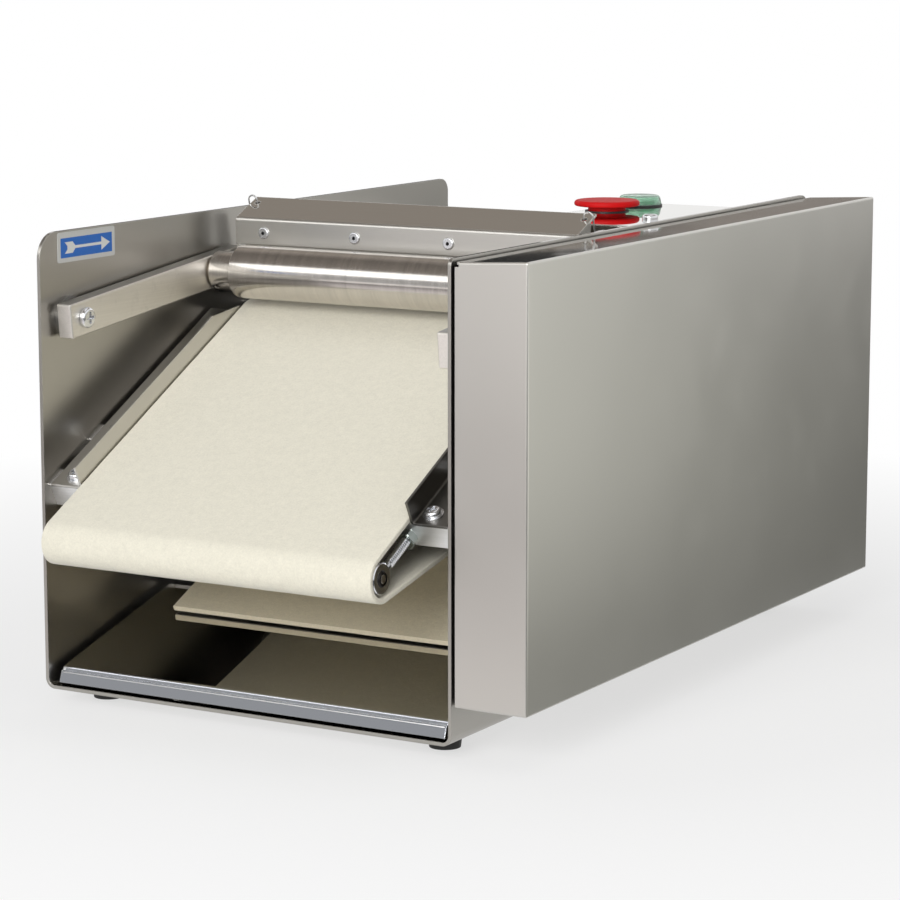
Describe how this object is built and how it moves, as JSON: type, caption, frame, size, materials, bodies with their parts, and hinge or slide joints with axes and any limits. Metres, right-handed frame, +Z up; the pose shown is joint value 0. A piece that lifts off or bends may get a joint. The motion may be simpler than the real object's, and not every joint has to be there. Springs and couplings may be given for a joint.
{
  "type": "croissant rolling machine",
  "caption": "Table-top bakery machine with a sloped felt belt, a geared steel pressing roller, a curved felt board and a chute that roll up dough triangles, with stop and start buttons on top.",
  "frame": {"origin": "on the table, under the middle of the machine's outer box", "axes": "+Z up, +Y from the infeed and discharge end to the back, +X to the machine's right, where the transmission cover is"},
  "size_m": [0.3244, 0.5006, 0.2821],
  "materials": {
    "stainless_sheet": "brushed stainless sheet, satin",
    "polished_sheet": "polished stainless sheet",
    "roller_steel": "fine turned, bright",
    "zinc_hardware": "bright zinc",
    "black_ball": "black oxide, oiled",
    "arm_steel": "milled bar, satin",
    "bar_aluminium": "drawn bar, matt",
    "bronze": "sintered bronze",
    "spring_steel": "bright spring wire",
    "gear_steel": "hobbed, lightly oiled",
    "bearing_housing": "cast, matt",
    "motor_paint": "dark grey paint",
    "felt": "pressed wool felt",
    "black_rubber": "moulded, matt",
    "label_film": "printed film, satin",
    "black_plastic": "moulded, fine grain",
    "red_plastic": "moulded, glossy",
    "green_plastic": "moulded, glossy",
    "clear_rubber": "clear silicone"
  },
  "bodies": {
    "frame": {"frame_shell": "stainless_sheet", "rear_panel": "stainless_sheet", "top_cover": "polished_sheet", "switch_shelf": "polished_sheet", "transmission_cover": "stainless_sheet", "brackets": "stainless_sheet", "panel_screws": "zinc_hardware", "rubber_feet": "black_rubber", "foot_screws": "zinc_hardware", "pivot_screws": "zinc_hardware", "pivot_spacers": "zinc_hardware", "hex_nuts": "zinc_hardware", "stop_pins": "zinc_hardware", "left_spring": "spring_steel", "right_spring": "spring_steel", "spring_pins": "zinc_hardware", "drive_bearings": "bearing_housing", "idler_axle": "zinc_hardware", "gearbox": "bearing_housing", "motor": "motor_paint", "motor_screws": "zinc_hardware", "felt_belt": "felt", "bed_plate": "stainless_sheet", "front_cross_bar": "bar_aluminium", "rear_cross_bar": "bar_aluminium", "left_guide": "stainless_sheet", "right_guide": "stainless_sheet", "guide_screws": "zinc_hardware", "forming_board": "stainless_sheet", "forming_felt": "felt", "board_bars": "bar_aluminium", "tie_screws": "zinc_hardware", "chute": "stainless_sheet", "arrow_label": "label_film", "estop_base": "black_plastic", "start_base": "black_plastic", "start_boot": "clear_rubber", "power_inlet": "black_plastic"},
    "arms": {"left_arm": "arm_steel", "right_arm": "arm_steel", "arm_bushes": "bronze", "hood": "stainless_sheet", "hood_rivets": "zinc_hardware", "scraper_blade": "stainless_sheet", "hood_screws": "zinc_hardware", "hood_spacers": "zinc_hardware"},
    "upper_roller": {"steel_roller": "roller_steel", "upper_gear": "gear_steel"},
    "drive": {"drive_roller": "roller_steel", "drive_gear": "gear_steel"},
    "idler": {"idler_gear": "gear_steel"},
    "motor_out": {"motor_shaft": "zinc_hardware", "motor_pinion": "gear_steel"},
    "tensioner": {"rod_ends": "zinc_hardware", "rod_end_balls": "black_ball"},
    "nose": {"nose_roller": "roller_steel"},
    "estop_plunger": {"estop_stem": "black_plastic"},
    "estop_head": {"estop_cap": "red_plastic"},
    "start": {"start_button": "green_plastic"}
  },
  "joints": [
    {"name": "drive_spin", "type": "hinge", "parent": "frame", "child": "drive", "pos_m": [-0.02, -0.02676, 0.17799], "axis": [1, 0, 0], "continuous": true},
    {"name": "arm_lift", "type": "hinge", "parent": "frame", "child": "arms", "pos_m": [-0.02, -0.18798, 0.2236], "axis": [1, 0, 0], "range_deg": [0, 1.1], "stiffness_Nm_per_rad": 27, "springref_deg": -6.88, "deforming": ["left_spring", "right_spring"]},
    {"name": "upper_spin", "type": "hinge", "parent": "arms", "child": "upper_roller", "pos_m": [-0.02, -0.05396, 0.23823], "axis": [1, 0, 0], "continuous": true},
    {"name": "idler_spin", "type": "hinge", "parent": "frame", "child": "idler", "pos_m": [0.124, 0.04963, 0.16175], "axis": [1, 0, 0], "continuous": true},
    {"name": "motor_spin", "type": "hinge", "parent": "frame", "child": "motor_out", "pos_m": [0.124, 0.09504, 0.14058], "axis": [1, 0, 0], "continuous": true},
    {"name": "belt_tension", "type": "slide", "parent": "frame", "child": "tensioner", "axis": [0, 0.8885, 0.4589], "range_m": [0, 0.003]},
    {"name": "nose_spin", "type": "hinge", "parent": "tensioner", "child": "nose", "pos_m": [-0.02, -0.23678, 0.103], "axis": [1, 0, 0], "continuous": true},
    {"name": "estop_push", "type": "slide", "parent": "frame", "child": "estop_plunger", "axis": [0, 0, 1], "range_m": [0, 0.004], "stiffness_N_per_m": 2000},
    {"name": "estop_twist", "type": "hinge", "parent": "estop_plunger", "child": "estop_head", "pos_m": [0.0574, 0.07783, 0.2728], "axis": [0, 0, 1], "range_deg": [-45, 0], "stiffness_Nm_per_rad": 0.1},
    {"name": "start_push", "type": "slide", "parent": "frame", "child": "start", "axis": [0, 0, 1], "range_m": [-0.003, 0], "stiffness_N_per_m": 600}
  ],
  "couplings": [
    {"joint": "upper_spin", "follows": "drive_spin", "ratio": -2.6667},
    {"joint": "idler_spin", "follows": "drive_spin", "ratio": -1.6},
    {"joint": "motor_spin", "follows": "drive_spin", "ratio": 2.4},
    {"joint": "nose_spin", "follows": "drive_spin", "ratio": 3.9024}
  ]
}
